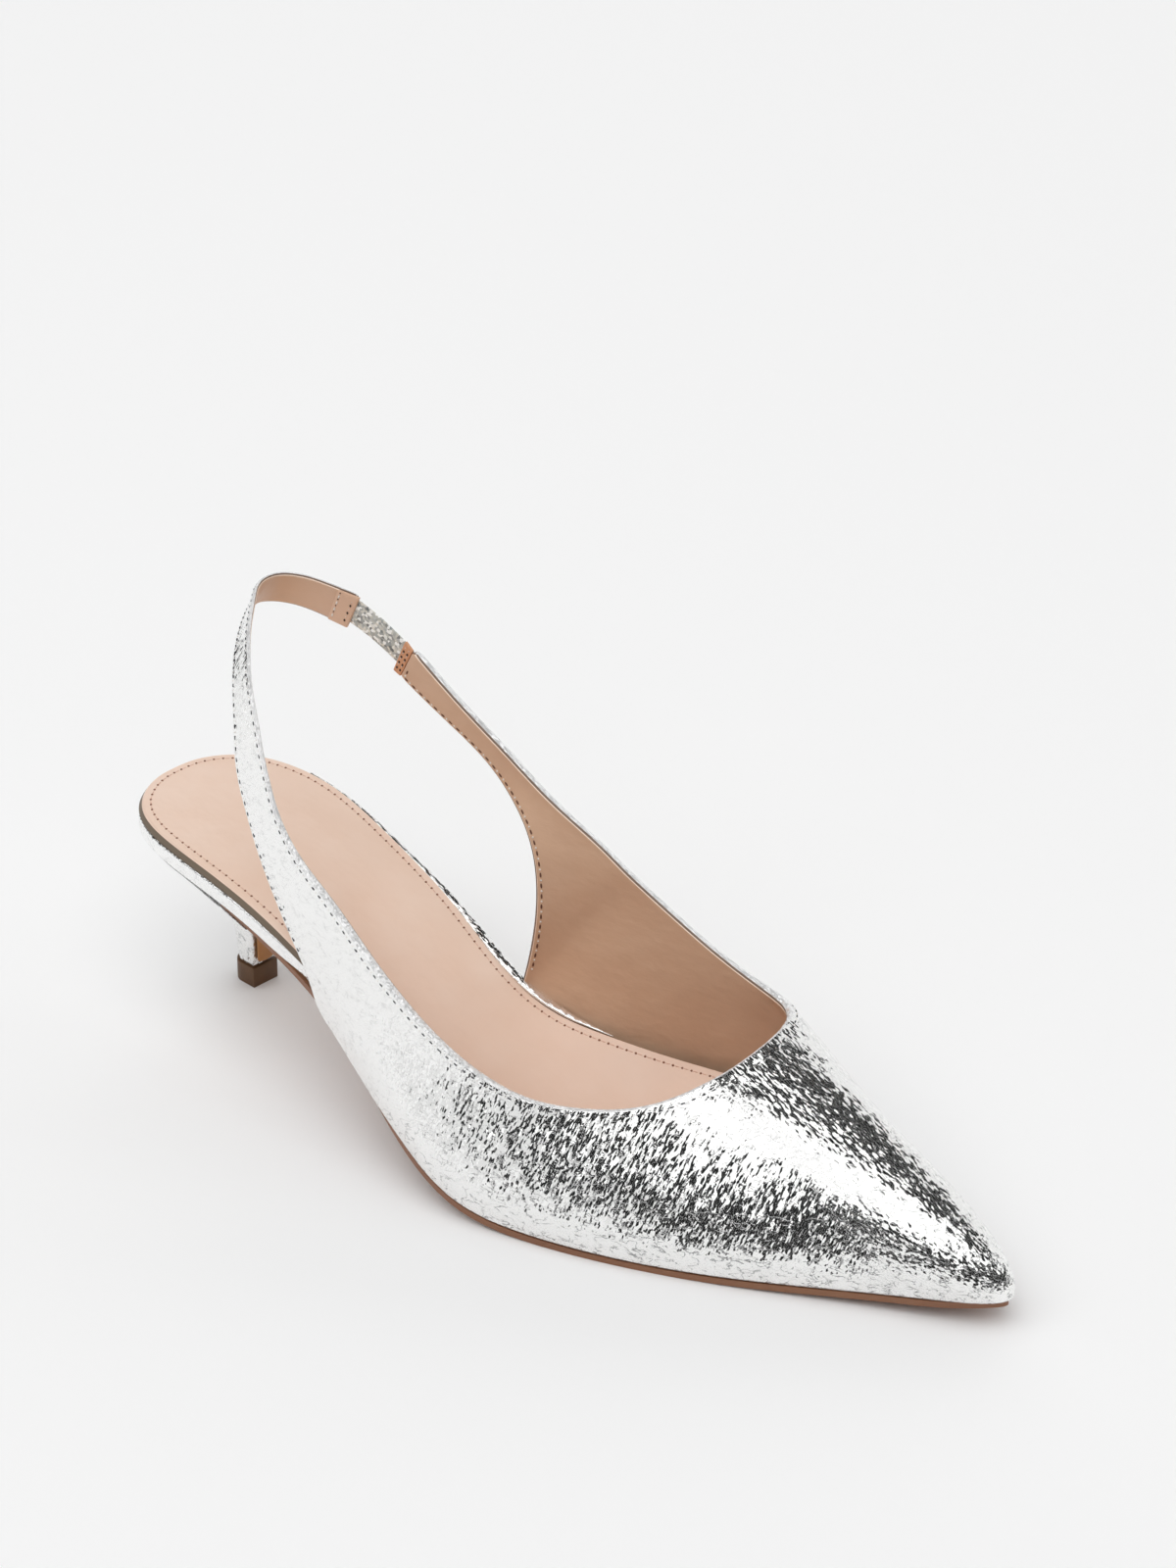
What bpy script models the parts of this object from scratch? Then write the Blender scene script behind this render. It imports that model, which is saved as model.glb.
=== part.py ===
"""Slingback pump, right shoe: silver leather upper and heel sling on a covered kitten heel.

X runs from the heel to the toe, Y to the inner side of the foot and Z up, in metres.
The tables are the pattern of one shoe size, and the driving dimensions grade it.
"""
import math

import bmesh
import bpy
import numpy as np

# Driving dimensions: toe to heel, across the ball, seat above the floor, throat above its bed.
LENGTH = 0.256
BALL_WIDTH = 0.075
HEEL_HEIGHT = 0.048
INSTEP = 0.042

# The same dimensions of the size that the tables are drawn for.
PATTERN_LENGTH = 0.256
PATTERN_BALL_WIDTH = 0.075
PATTERN_HEEL_HEIGHT = 0.048
PATTERN_INSTEP = 0.042

# Thicknesses and fits.
GAP = 0.0003
WALL = 0.0023
SLING_WALL_SHARE = 0.5
SOCK_THICKNESS = 0.0018
BOARD_SEAT_THICKNESS = 0.0042
BOARD_TREAD_THICKNESS = 0.0027
OUTSOLE_THICKNESS = 0.0016
OUTSOLE_TAIL_THICKNESS = 0.0007
ELASTIC_THICKNESS = 0.0012
BREAST_COVER_THICKNESS = 0.0008

# Places along the shoe, from the back of the seat.
OUTSOLE_TAIL = 0.043
OUTSOLE_FULL = 0.060
HEEL_BREAST = 0.052
OUTER_STEP = 0.0745
INNER_STEP = 0.1005
BOARD_THIN_FROM = 0.060
BOARD_THIN_TO = 0.150

# How far edges stand out from the feather line, where the upper meets the bottom.
RIM_PROUD = 0.0012
FOOT_PROUD = 0.0005
OUTER_OVERHANG = 0.0024
OUTSOLE_PROUD = 0.0003
OUTSOLE_TOE_SET_BACK = 0.0022
OUTSOLE_SET_BACK_FROM = 0.240
FOOT_LIFT = 0.0003
STEP_IN_LENGTH = 0.0045
SIDE_CLEAR = 0.0008
SOCK_CUP = 0.0088
SOCK_DRAWN_IN = 0.0019

# Angles of the feather line that the bottom pieces leave out at their ends.
END_TURN = 0.07
BOARD_TOE_TURN = 0.24
SOCK_TOE_TURN = 0.36

# Working of the curves: small step for directions, rows repeated past the heel, pull of a rib to its side.
NUDGE = 0.001
WAIST_ROWS = 6
RIB_STEADY = 0.006

# Along the sling, from its end to the bed: where its wall thickens to the upper's.
SLING_THICKENS = (0.6, 1.0)

# Along the outer side: where the upper overhangs the outsole's edge.
OVERHANG_FROM = 0.060
OVERHANG_FULL = 0.080
OVERHANG_FADES = 0.088
OVERHANG_ENDS = 0.122

# Along the inner side: where the sock draws in, and where it rides up.
SOCK_DRAWN_FROM = 0.0725
CUP_FROM = 0.100
CUP_FULL = 0.135
CUP_FADES = 0.185
CUP_ENDS = 0.215

# Elastic, between the sling's end and the inner quarter.
ELASTIC_CLEAR = 0.025
ELASTIC_INSET = 0.04
ELASTIC_BOW = 0.0012
ELASTIC_SET_IN = 0.0002

# Heel and its tip.
HEEL_PROUD = 0.0004
HEEL_TOP_STEP = 0.003
BREAST_FROM = 0.07
BREAST_TO = 0.97
BREAST_INSET = 0.0005
TIP_SIDE_TURN = 0.8
TIP_BACK = 0.0232
TIP_FRONT = 0.0306
TIP_HALF_WIDTH = 0.0034
TIP_HEIGHT = 0.0054
TIP_PROUD = 0.0005

# Feather line seen from above: distance from the heel, outer edge, inner edge.
TOE_TIP_OUT = 0.0202
FEATHER = (
    (0.0100, -0.0188, 0.0182),
    (0.0200, -0.0224, 0.0219),
    (0.0320, -0.0235, 0.0231),
    (0.0500, -0.0238, 0.0214),
    (0.0700, -0.0248, 0.0193),
    (0.0900, -0.0282, 0.0178),
    (0.1080, -0.0340, 0.0172),
    (0.1230, -0.0373, 0.0189),
    (0.1380, -0.0378, 0.0262),
    (0.1520, -0.0344, 0.0332),
    (0.1650, -0.0302, 0.0366),
    (0.1800, -0.0240, 0.0369),
    (0.2000, -0.0138, 0.0346),
    (0.2200, -0.0020, 0.0311),
    (0.2400, 0.0089, 0.0270),
    (0.2520, 0.0151, 0.0240),
)

# Bed of the shoe, the top of the outsole: distance from the heel, height.
BED = (
    (-0.0100, 0.0417),
    (0.0000, 0.0415),
    (0.0250, 0.0402),
    (0.0500, 0.0365),
    (0.0800, 0.0280),
    (0.0950, 0.0222),
    (0.1100, 0.0153),
    (0.1200, 0.0105),
    (0.1300, 0.0064),
    (0.1400, 0.0035),
    (0.1500, 0.0020),
    (0.1600, 0.0016),
    (0.1700, 0.0015),
    (0.1850, 0.0015),
    (0.2000, 0.0019),
    (0.2200, 0.0030),
    (0.2400, 0.0047),
    (0.2600, 0.0069),
)

# Ribs of the inner quarter, from the elastic to the bed:
# lower edge (x, y, z), upper edge (x, y, z), how far the leather swells out between them.
INNER_QUARTER = (
    (0.0560, 0.0255, 0.0860, 0.0603, 0.0255, 0.0940, 0.0000),
    (0.0700, 0.0260, 0.0800, 0.0750, 0.0260, 0.0855, 0.0000),
    (0.0840, 0.0264, 0.0735, 0.0910, 0.0268, 0.0773, 0.0003),
    (0.0945, 0.0252, 0.0660, 0.1030, 0.0276, 0.0704, 0.0006),
    (0.1018, 0.0232, 0.0580, 0.1105, 0.0286, 0.0664, 0.0010),
    (0.1050, 0.0210, 0.0460, 0.1170, 0.0299, 0.0627, 0.0015),
    (0.1045, 0.0192, 0.0330, 0.1225, 0.0309, 0.0593, 0.0020),
)

# Ribs drawn over the last, from the inner quarter round the toe to the outer quarter:
# side of the foot (inner 1, outer -1), distance of the foot on the feather line, topline (x, y, z),
# then how the wall leaves the bed (lean, rise) and how it meets the topline (run, drop).
LASTED = (
    (1, 0.1025, 0.1270, 0.0319, 0.0565, 0.0040, 0.0115, 0.0040, 0.0115),
    (1, 0.1150, 0.1345, 0.0335, 0.0520, 0.0050, 0.0110, 0.0035, 0.0110),
    (1, 0.1320, 0.1460, 0.0352, 0.0465, 0.0055, 0.0110, 0.0030, 0.0120),
    (1, 0.1500, 0.1570, 0.0366, 0.0426, 0.0048, 0.0120, 0.0032, 0.0110),
    (1, 0.1680, 0.1672, 0.0366, 0.0412, 0.0040, 0.0130, 0.0045, 0.0090),
    (1, 0.1900, 0.1740, 0.0345, 0.0412, 0.0036, 0.0145, 0.0085, 0.0065),
    (1, 0.2120, 0.1773, 0.0300, 0.0413, 0.0030, 0.0145, 0.0160, 0.0050),
    (1, 0.2340, 0.1796, 0.0232, 0.0412, 0.0028, 0.0135, 0.0270, 0.0065),
    (1, 0.2490, 0.1806, 0.0165, 0.0408, 0.0042, 0.0125, 0.0360, 0.0090),
    (1, 0.2560, 0.1806, 0.0105, 0.0398, 0.0052, 0.0115, 0.0395, 0.0110),
    (-1, 0.2490, 0.1800, 0.0050, 0.0388, 0.0030, 0.0105, 0.0360, 0.0115),
    (-1, 0.2340, 0.1786, -0.0015, 0.0376, 0.0015, 0.0100, 0.0290, 0.0120),
    (-1, 0.2120, 0.1755, -0.0080, 0.0356, 0.0018, 0.0095, 0.0180, 0.0125),
    (-1, 0.1900, 0.1695, -0.0140, 0.0332, 0.0020, 0.0090, 0.0115, 0.0115),
    (-1, 0.1680, 0.1605, -0.0195, 0.0314, 0.0023, 0.0090, 0.0070, 0.0105),
    (-1, 0.1500, 0.1495, -0.0250, 0.0310, 0.0025, 0.0095, 0.0045, 0.0095),
    (-1, 0.1320, 0.1360, -0.0283, 0.0330, 0.0020, 0.0095, 0.0035, 0.0095),
    (-1, 0.1150, 0.1215, -0.0305, 0.0388, 0.0015, 0.0095, 0.0025, 0.0100),
    (-1, 0.1000, 0.1070, -0.0308, 0.0465, 0.0012, 0.0095, 0.0020, 0.0110),
    (-1, 0.0830, 0.0950, -0.0300, 0.0535, 0.0012, 0.0095, 0.0020, 0.0110),
)

# Ribs of the outer quarter and the sling, from the bed round the back to the elastic,
# with the same columns as the inner quarter's.
SLING = (
    (0.0775, -0.0286, 0.0359, 0.0870, -0.0294, 0.0585, 0.0010),
    (0.0730, -0.0285, 0.0425, 0.0800, -0.0289, 0.0623, 0.0006),
    (0.0655, -0.0280, 0.0532, 0.0735, -0.0284, 0.0668, 0.0004),
    (0.0600, -0.0274, 0.0620, 0.0683, -0.0278, 0.0725, 0.0002),
    (0.0555, -0.0267, 0.0710, 0.0645, -0.0270, 0.0793, 0.0000),
    (0.0520, -0.0257, 0.0792, 0.0610, -0.0258, 0.0863, 0.0000),
    (0.0493, -0.0237, 0.0875, 0.0575, -0.0240, 0.0923, 0.0000),
    (0.0437, -0.0188, 0.0940, 0.0516, -0.0204, 0.0978, 0.0000),
    (0.0370, -0.0123, 0.0974, 0.0441, -0.0141, 0.1008, 0.0000),
    (0.0288, -0.0029, 0.0988, 0.0358, -0.0064, 0.1030, 0.0000),
    (0.0219, 0.0059, 0.0978, 0.0278, 0.0023, 0.1042, 0.0000),
    (0.0184, 0.0132, 0.0964, 0.0224, 0.0102, 0.1045, 0.0000),
    (0.0198, 0.0180, 0.0952, 0.0228, 0.0155, 0.1043, 0.0000),
    (0.0244, 0.0207, 0.0947, 0.0274, 0.0192, 0.1040, 0.0000),
    (0.0315, 0.0220, 0.0943, 0.0355, 0.0212, 0.1036, 0.0000),
    (0.0393, 0.0223, 0.0942, 0.0440, 0.0222, 0.1034, 0.0000),
)

# Taper of the covered heel: share of the way down, share of the seat's spread left.
HEEL_TAPER = (
    (0.00, 1.00),
    (0.05, 0.87),
    (0.12, 0.67),
    (0.22, 0.45),
    (0.34, 0.28),
    (0.48, 0.16),
    (0.64, 0.08),
    (0.82, 0.03),
    (1.00, 0.00),
)

# Mesh density.
QUARTER_COLUMNS = 20
LASTED_COLUMNS = 54
SLING_COLUMNS = 60
RIB_ROWS = 9
ELASTIC_COLUMNS = 8
ELASTIC_ROWS = 2
SLAB_ROWS = 40
SLAB_COLUMNS = 6
HEEL_RINGS = 14
HEEL_RING_CROWDING = 1.3
HEEL_SIDE_POINTS = 19
HEEL_FRONT_POINTS = 6
BREAST_COLUMNS = 4
BREAST_ROWS = 12

# Colours of the finished pieces: base colour, roughness, metallic.
FINISHES = {
    "silver_leather": ((0.78, 0.78, 0.79), 0.28, 0.9),
    "blush_leather": ((0.79, 0.60, 0.50), 0.50, 0.0),
    "sole_leather": ((0.25, 0.10, 0.05), 0.45, 0.0),
    "breast_leather": ((0.19, 0.08, 0.03), 0.45, 0.0),
    "tip_rubber": ((0.11, 0.05, 0.02), 0.55, 0.0),
    "glitter_elastic": ((0.62, 0.61, 0.60), 0.55, 0.3),
}
SMOOTH_UP_TO = math.radians(35)


def spline(knots, rows):
    """Natural cubic through the rows, as a function of the knots' measure."""
    knots = np.asarray(knots, float)
    rows = np.asarray(rows, float)
    span = np.diff(knots)
    slope = np.diff(rows, axis=0) / span[:, None]
    system = np.eye(len(knots))
    bend = np.zeros_like(rows)
    for i in range(1, len(knots) - 1):
        system[i, i - 1:i + 2] = span[i - 1], 2 * (span[i - 1] + span[i]), span[i]
        bend[i] = 6 * (slope[i] - slope[i - 1])
    bend = np.linalg.solve(system, bend)

    def at(measure):
        i = int(np.clip(np.searchsorted(knots, measure) - 1, 0, len(span) - 1))
        after = (measure - knots[i]) / span[i]
        before = 1 - after
        curl = (before ** 3 - before) * bend[i] + (after ** 3 - after) * bend[i + 1]
        return before * rows[i] + after * rows[i + 1] + curl * span[i] ** 2 / 6

    return at


def column_curve(table):
    """Single-valued curve through a table of two columns."""
    curve = spline([row[0] for row in table], [[row[1]] for row in table])
    return lambda measure: float(curve(measure)[0])


def ramp(start, end, value):
    """Smooth step from 0 at start to 1 at end."""
    share = min(max((value - start) / (end - start), 0.0), 1.0)
    return share * share * (3 - 2 * share)


def unit(vector):
    return vector / np.linalg.norm(vector)


pattern_bed = column_curve(BED)
heel_spread = column_curve(HEEL_TAPER)


def bed(x):
    """Height of the outsole's top at a distance from the heel, graded to the heel height."""
    return pattern_bed(x / LENGTH * PATTERN_LENGTH) * HEEL_HEIGHT / PATTERN_HEEL_HEIGHT


def graded(x, y, z):
    """A point of the pattern at the size of this shoe."""
    along = x * LENGTH / PATTERN_LENGTH
    above = (z - pattern_bed(x)) * INSTEP / PATTERN_INSTEP
    return np.array((along, y * BALL_WIDTH / PATTERN_BALL_WIDTH, bed(along) + above))


def turn_of(x, side=-1):
    """Angle round the feather line: the heel at 0, the toe at half a turn, the inner side after it."""
    turn = math.acos(1 - 2 * min(max(x / LENGTH, 0.0), 1.0))
    return 2 * math.pi - turn if side > 0 else turn


def feather_curve():
    """Sideways place of the feather line by its angle, once round and as far as the waist at each end."""
    outer = [(turn_of(x * LENGTH / PATTERN_LENGTH), y) for x, y, _ in FEATHER]
    inner = [(turn_of(x * LENGTH / PATTERN_LENGTH, 1), y) for x, _, y in reversed(FEATHER)]
    once = [(0.0, 0.0)] + outer + [(math.pi, TOE_TIP_OUT)] + inner
    before = [(turn - 2 * math.pi, y) for turn, y in inner[-WAIST_ROWS:]]
    after = [(turn + 2 * math.pi, y) for turn, y in once[:WAIST_ROWS]]
    return column_curve([(turn, y * BALL_WIDTH / PATTERN_BALL_WIDTH) for turn, y in before + once + after])


feather_side = feather_curve()


def feather(turn, proud=0.0):
    """Point of the feather line in plan, moved outwards by the amount given, and its outward direction."""

    def plain(angle):
        return np.array((LENGTH * (1 - math.cos(angle)) / 2, feather_side(angle)))

    along = plain(turn + NUDGE) - plain(turn - NUDGE)
    outward = unit(np.array((along[1], -along[0])))
    return plain(turn) + proud * outward, outward


def overhang(x, side):
    """How far the upper's edge stands out from the feather line: most along the outer waist."""
    if side > 0:
        return FOOT_PROUD
    rises = ramp(OVERHANG_FROM, OVERHANG_FULL, x)
    return FOOT_PROUD + OUTER_OVERHANG * rises * (1 - ramp(OVERHANG_FADES, OVERHANG_ENDS, x))


def foot_point(turn):
    """Where the upper's edge stands on the bed."""
    side = -1 if turn < math.pi else 1
    foot, outward = feather(turn, overhang(feather(turn)[0][0], side))
    return np.array((foot[0], foot[1], bed(foot[0]) + GAP + FOOT_LIFT)), outward


def wing_rib(row):
    """Four controls of a rib of a quarter or the sling, which is nearly straight."""
    low_x, low_y, low_z, top_x, top_y, top_z, swell = row
    low = graded(low_x, low_y, low_z)
    top = graded(top_x, top_y, top_z)
    third = (top - low) / 3
    outward = np.array((0.0, math.copysign(swell, low_y), 0.0))
    return [low, low + third + outward, top - third + outward, top]


def lasted_rib(row):
    """Four controls of a rib that leaves the bed along the last and ends at the topline."""
    side, foot_x, top_x, top_y, top_z, lean, rise, run, drop = row
    low, outward = foot_point(turn_of(foot_x * LENGTH / PATTERN_LENGTH, side))
    top = graded(top_x, top_y, top_z)
    to_foot = unit(low[:2] - top[:2] + outward * RIB_STEADY)
    lead = max(top[0] - low[0], 0.0) / 3
    lifted = low + np.array((outward[0] * lean + lead, outward[1] * lean, rise))
    lowered = top + np.array((to_foot[0] * run - lead, to_foot[1] * run, -drop))
    return [low, lifted, lowered, top]


def upper_ribs():
    """Controls of every column of the upper, from the sling's end round the toe to the inner end."""
    inner = [wing_rib(row) for row in INNER_QUARTER]
    lasted = [lasted_rib(row) for row in LASTED]
    outer = [wing_rib(row) for row in SLING]
    rows = np.array(inner + lasted + outer)
    strides = np.linalg.norm(np.diff(rows, axis=0), axis=2)
    measure = np.concatenate(([0.0], np.cumsum((strides[:, 0] + strides[:, 3]) / 2)))
    first = len(inner)
    last = len(inner) + len(lasted) - 1
    shape = spline(measure, rows[:, 1:].reshape(len(rows), 9))
    inner_edge = spline(measure[:first + 1], rows[:first + 1, 0])
    outer_edge = spline(measure[last:], rows[last:, 0])
    turns = [[turn_of(row[1] * LENGTH / PATTERN_LENGTH, row[0])] for row in LASTED]
    foot_turn = spline(measure[first:last + 1], turns)
    stations = np.concatenate((
        np.linspace(measure[0], measure[first], QUARTER_COLUMNS, endpoint=False),
        np.linspace(measure[first], measure[last], LASTED_COLUMNS, endpoint=False),
        np.linspace(measure[last], measure[-1], SLING_COLUMNS + 1),
    ))
    ribs = []
    for station in stations:
        if station < measure[first]:
            low = inner_edge(station)
        elif station <= measure[last]:
            low = foot_point(float(foot_turn(station)[0]))[0]
        else:
            low = outer_edge(station)
        ribs.append(np.vstack((low, shape(station).reshape(3, 3))))
    return ribs[::-1]


def rib_point(controls, share):
    """Point of a rib, from its lower edge at 0 to its upper edge at 1."""
    rest = 1 - share
    return np.array((rest ** 3, 3 * rest ** 2 * share, 3 * rest * share ** 2, share ** 3)) @ controls


def new_piece(name, builder, finish):
    """One named piece with its own mesh and material."""
    mesh = bpy.data.meshes.new(name)
    builder.to_mesh(mesh)
    builder.free()
    mesh.shade_smooth()
    mesh.set_sharp_from_angle(angle=SMOOTH_UP_TO)
    colour, roughness, metallic = FINISHES[finish]
    material = bpy.data.materials.new(name + "_" + finish)
    material.use_nodes = True
    shader = material.node_tree.nodes["Principled BSDF"]
    shader.inputs["Base Color"].default_value = (*colour, 1)
    shader.inputs["Roughness"].default_value = roughness
    shader.inputs["Metallic"].default_value = metallic
    mesh.materials.append(material)
    piece = bpy.data.objects.new(name, mesh)
    parts.objects.link(piece)
    piece.parent = root
    return piece


def placed_grid(columns, rows, place, fullness=None):
    """A grid primitive whose points are moved onto a surface, given as place(column, row).

    A share of a wall's thickness is kept with each point, where it is given by column.
    """
    builder = bmesh.new()
    wall_share = builder.verts.layers.deform.verify()
    made = bmesh.ops.create_grid(builder, x_segments=columns, y_segments=rows, size=0.5)
    for vert in made["verts"]:
        column = round((vert.co.x + 0.5) * columns)
        row = round((vert.co.y + 0.5) * rows)
        vert.co = place(column, row)
        if fullness:
            vert[wall_share][0] = fullness(column)
    return builder


def sheet(name, columns, rows, place, thickness, finish, fullness=None):
    """An open surface, facing out, with a wall behind it that may be thinner along some columns."""
    piece = new_piece(name, placed_grid(columns, rows, place, fullness), finish)
    wall = piece.modifiers.new("wall", "SOLIDIFY")
    wall.thickness = thickness
    wall.offset = -1.0
    wall.use_even_offset = True
    if fullness:
        wall.vertex_group = piece.vertex_groups.new(name="wall").name
    return piece


def slab(name, turn_from, turn_left, proud, top, thickness, finish):
    """A bottom piece with the feather line's outline, from a place near the heel to one near the toe."""

    def place(column, row):
        turn = turn_from + (math.pi - turn_left - turn_from) * row / SLAB_ROWS
        across = column / SLAB_COLUMNS
        here = feather(turn)[0][0]
        outer = feather(turn, proud(here, -1))[0]
        inner = feather(2 * math.pi - turn, proud(here, 1))[0]
        x, y = outer + (inner - outer) * across
        return (x, y, top(x, across))

    builder = placed_grid(SLAB_COLUMNS, SLAB_ROWS, place)
    lower = bmesh.ops.extrude_face_region(builder, geom=builder.faces[:], use_keep_orig=True)
    for item in lower["geom"]:
        if isinstance(item, bmesh.types.BMVert):
            item.co.z -= thickness(item.co.x)
    bmesh.ops.recalc_face_normals(builder, faces=builder.faces)
    return new_piece(name, builder, finish)


def loft(name, rings, finish):
    """A closed body through rings of equally many points, with flat ends."""
    builder = bmesh.new()
    loops = [[builder.verts.new(point) for point in ring] for ring in rings]
    count = len(loops[0])
    for above, below in zip(loops, loops[1:]):
        for i in range(count):
            j = (i + 1) % count
            builder.faces.new((above[i], above[j], below[j], below[i]))
    builder.faces.new(loops[0])
    builder.faces.new(loops[-1])
    bmesh.ops.recalc_face_normals(builder, faces=builder.faces)
    return new_piece(name, builder, finish)


def board_thickness(x):
    thinned = ramp(BOARD_THIN_FROM, BOARD_THIN_TO, x)
    return BOARD_SEAT_THICKNESS + (BOARD_TREAD_THICKNESS - BOARD_SEAT_THICKNESS) * thinned


def board_top(x):
    return bed(x) + GAP + board_thickness(x)


def tail_thickness(x):
    """The outsole is pared thin where it runs out under the seat."""
    full = ramp(OUTSOLE_TAIL, OUTSOLE_FULL, x)
    return OUTSOLE_TAIL_THICKNESS + (OUTSOLE_THICKNESS - OUTSOLE_TAIL_THICKNESS) * full


def outsole_thickness(x):
    """Thickness down to the floor at most, so that the tread is flat."""
    return min(tail_thickness(x), bed(x))


def outsole_proud(x, side):
    return OUTSOLE_PROUD - OUTSOLE_TOE_SET_BACK * ramp(OUTSOLE_SET_BACK_FROM, LENGTH, x)


def step_in(x, side):
    """Share of the step inwards where the quarter covers the bottom's edge."""
    stepped = INNER_STEP if side > 0 else OUTER_STEP
    return ramp(stepped - STEP_IN_LENGTH, stepped, x)


def board_proud(x, side):
    """The board's rim stands out round the seat, and stays inside the upper's wall ahead of it."""
    inside = overhang(x, side) - WALL - SIDE_CLEAR
    return RIM_PROUD + (inside - RIM_PROUD) * step_in(x, side)


def sock_cup(x):
    """Share of the sock's ride up the wall on the inner side of the ball."""
    return ramp(CUP_FROM, CUP_FULL, x) * (1 - ramp(CUP_FADES, CUP_ENDS, x))


def sock_proud(x, side):
    """The sock leaves the silver rim in sight along the inner waist, and keeps inside the board at the toe."""
    if side < 0:
        return board_proud(x, side) - RIM_PROUD * (1 - step_in(x, side))
    waist = -SOCK_DRAWN_IN * ramp(SOCK_DRAWN_FROM, INNER_STEP, x)
    return waist + (board_proud(x, side) - waist) * ramp(CUP_FADES, CUP_ENDS, x)


def sock_top(x, across):
    inner_half = max(2 * across - 1, 0.0)
    return board_top(x) + GAP + SOCK_THICKNESS + SOCK_CUP * sock_cup(x) * inner_half ** 2


def heel_top(x):
    """Underside of what the heel carries: the seat of the board, or the outsole's tail."""
    under_tail = ramp(OUTSOLE_TAIL - HEEL_TOP_STEP, OUTSOLE_TAIL - HEEL_TOP_STEP / 3, x)
    return bed(x) - GAP - under_tail * (tail_thickness(x) + GAP)


def d_ring(rounded, front):
    """Ring of a heel section: round the sides and back, then across the flat front."""
    ring = [rounded(i / (HEEL_SIDE_POINTS - 1)) for i in range(HEEL_SIDE_POINTS)]
    start = ring[-1][1]
    end = ring[0][1]
    for i in range(1, HEEL_FRONT_POINTS):
        ring.append((front, start + (end - start) * i / HEEL_FRONT_POINTS))
    return ring


def seat_ring():
    """The heel's top in plan: the seat's outline back from the breast line."""
    breast_turn = turn_of(HEEL_BREAST)
    return d_ring(lambda share: tuple(feather(breast_turn * (1 - 2 * share), HEEL_PROUD)[0]), HEEL_BREAST)


def tip_ring(proud=0.0):
    """The heel's lower end in plan: a round back, straight sides and a flat front."""
    half = TIP_HALF_WIDTH + proud
    back = TIP_BACK - proud
    front = TIP_FRONT + proud
    widest = back + half

    def rounded(share):
        angle = (2 * share - 1) * (math.pi / 2 + TIP_SIDE_TURN)
        straight = (abs(angle) - math.pi / 2) / TIP_SIDE_TURN
        if straight > 0:
            return (widest + (front - widest) * straight, math.copysign(half, angle))
        return (widest - half * math.cos(angle), half * math.sin(angle))

    return d_ring(rounded, front)


def heel_height(seat_x, down):
    """Height of a heel section, level at the tip and along the seat at the top."""
    return heel_top(seat_x) * (1 - down) + (TIP_HEIGHT + GAP) * down


def heel_section(down):
    """Ring of the heel at a share of the way from the seat to the tip."""
    spread = heel_spread(down)
    ring = []
    for (seat_x, seat_y), (tip_x, tip_y) in zip(seat_ring(), tip_ring()):
        x = tip_x + (seat_x - tip_x) * spread
        y = tip_y + (seat_y - tip_y) * spread
        ring.append((x, y, heel_height(seat_x, down)))
    return ring


def breast_profile(down):
    """Front of the heel seen from the side."""
    x = TIP_FRONT + (HEEL_BREAST - TIP_FRONT) * heel_spread(down)
    return np.array((x, heel_height(HEEL_BREAST, down)))


def breast_place(column, row):
    """Face of the breast cover, which follows the front of the heel."""
    down = BREAST_FROM + (BREAST_TO - BREAST_FROM) * row / BREAST_ROWS
    along = unit(breast_profile(down + NUDGE) - breast_profile(down - NUDGE))
    x, z = breast_profile(down) + np.array((-along[1], along[0])) * (GAP + BREAST_COVER_THICKNESS)
    section = heel_section(down)
    left = section[HEEL_SIDE_POINTS - 1][1]
    right = section[0][1]
    low = min(left, right) + BREAST_INSET
    high = max(left, right) - BREAST_INSET
    return (x, high + (low - high) * column / BREAST_COLUMNS, z)


def elastic_place(column, row):
    """Between the sling's end and the inner quarter's end, bowed a little upwards."""
    share = ELASTIC_CLEAR + (1 - 2 * ELASTIC_CLEAR) * column / ELASTIC_COLUMNS
    up = ELASTIC_INSET + (1 - 2 * ELASTIC_INSET) * row / ELASTIC_ROWS
    start = rib_point(ribs[-1], up)
    end = rib_point(ribs[0], up)
    bow = 4 * share * (1 - share) * ELASTIC_BOW
    return start + (end - start) * share + np.array((0.0, -ELASTIC_SET_IN, bow))


def centre_on_floor():
    """Moves the frame so that the middle of the shoe's box stands over the origin."""
    bpy.context.view_layer.update()
    depsgraph = bpy.context.evaluated_depsgraph_get()
    corners = []
    for piece in parts.objects:
        if piece.type == "MESH":
            corners.extend(vert.co.to_tuple() for vert in piece.evaluated_get(depsgraph).data.vertices)
    low = np.min(corners, axis=0)
    high = np.max(corners, axis=0)
    root.location = (-(low[0] + high[0]) / 2, -(low[1] + high[1]) / 2, -low[2])


for old in list(bpy.data.objects):
    bpy.data.objects.remove(old, do_unlink=True)

parts = bpy.data.collections.new("slingback_pump")
bpy.context.scene.collection.children.link(parts)
root = bpy.data.objects.new("slingback_pump_frame", None)
parts.objects.link(root)

# The upper: vamp, quarters and sling cut in one, drawn over the last and open at the bed.
ribs = upper_ribs()
sheet(
    "upper",
    len(ribs) - 1,
    RIB_ROWS,
    lambda column, row: rib_point(ribs[column], row / RIB_ROWS),
    WALL,
    "silver_leather",
    lambda column: SLING_WALL_SHARE + (1 - SLING_WALL_SHARE) * ramp(*SLING_THICKENS, column / SLING_COLUMNS),
)
sheet("elastic", ELASTIC_COLUMNS, ELASTIC_ROWS, elastic_place, ELASTIC_THICKNESS, "glitter_elastic")

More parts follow.
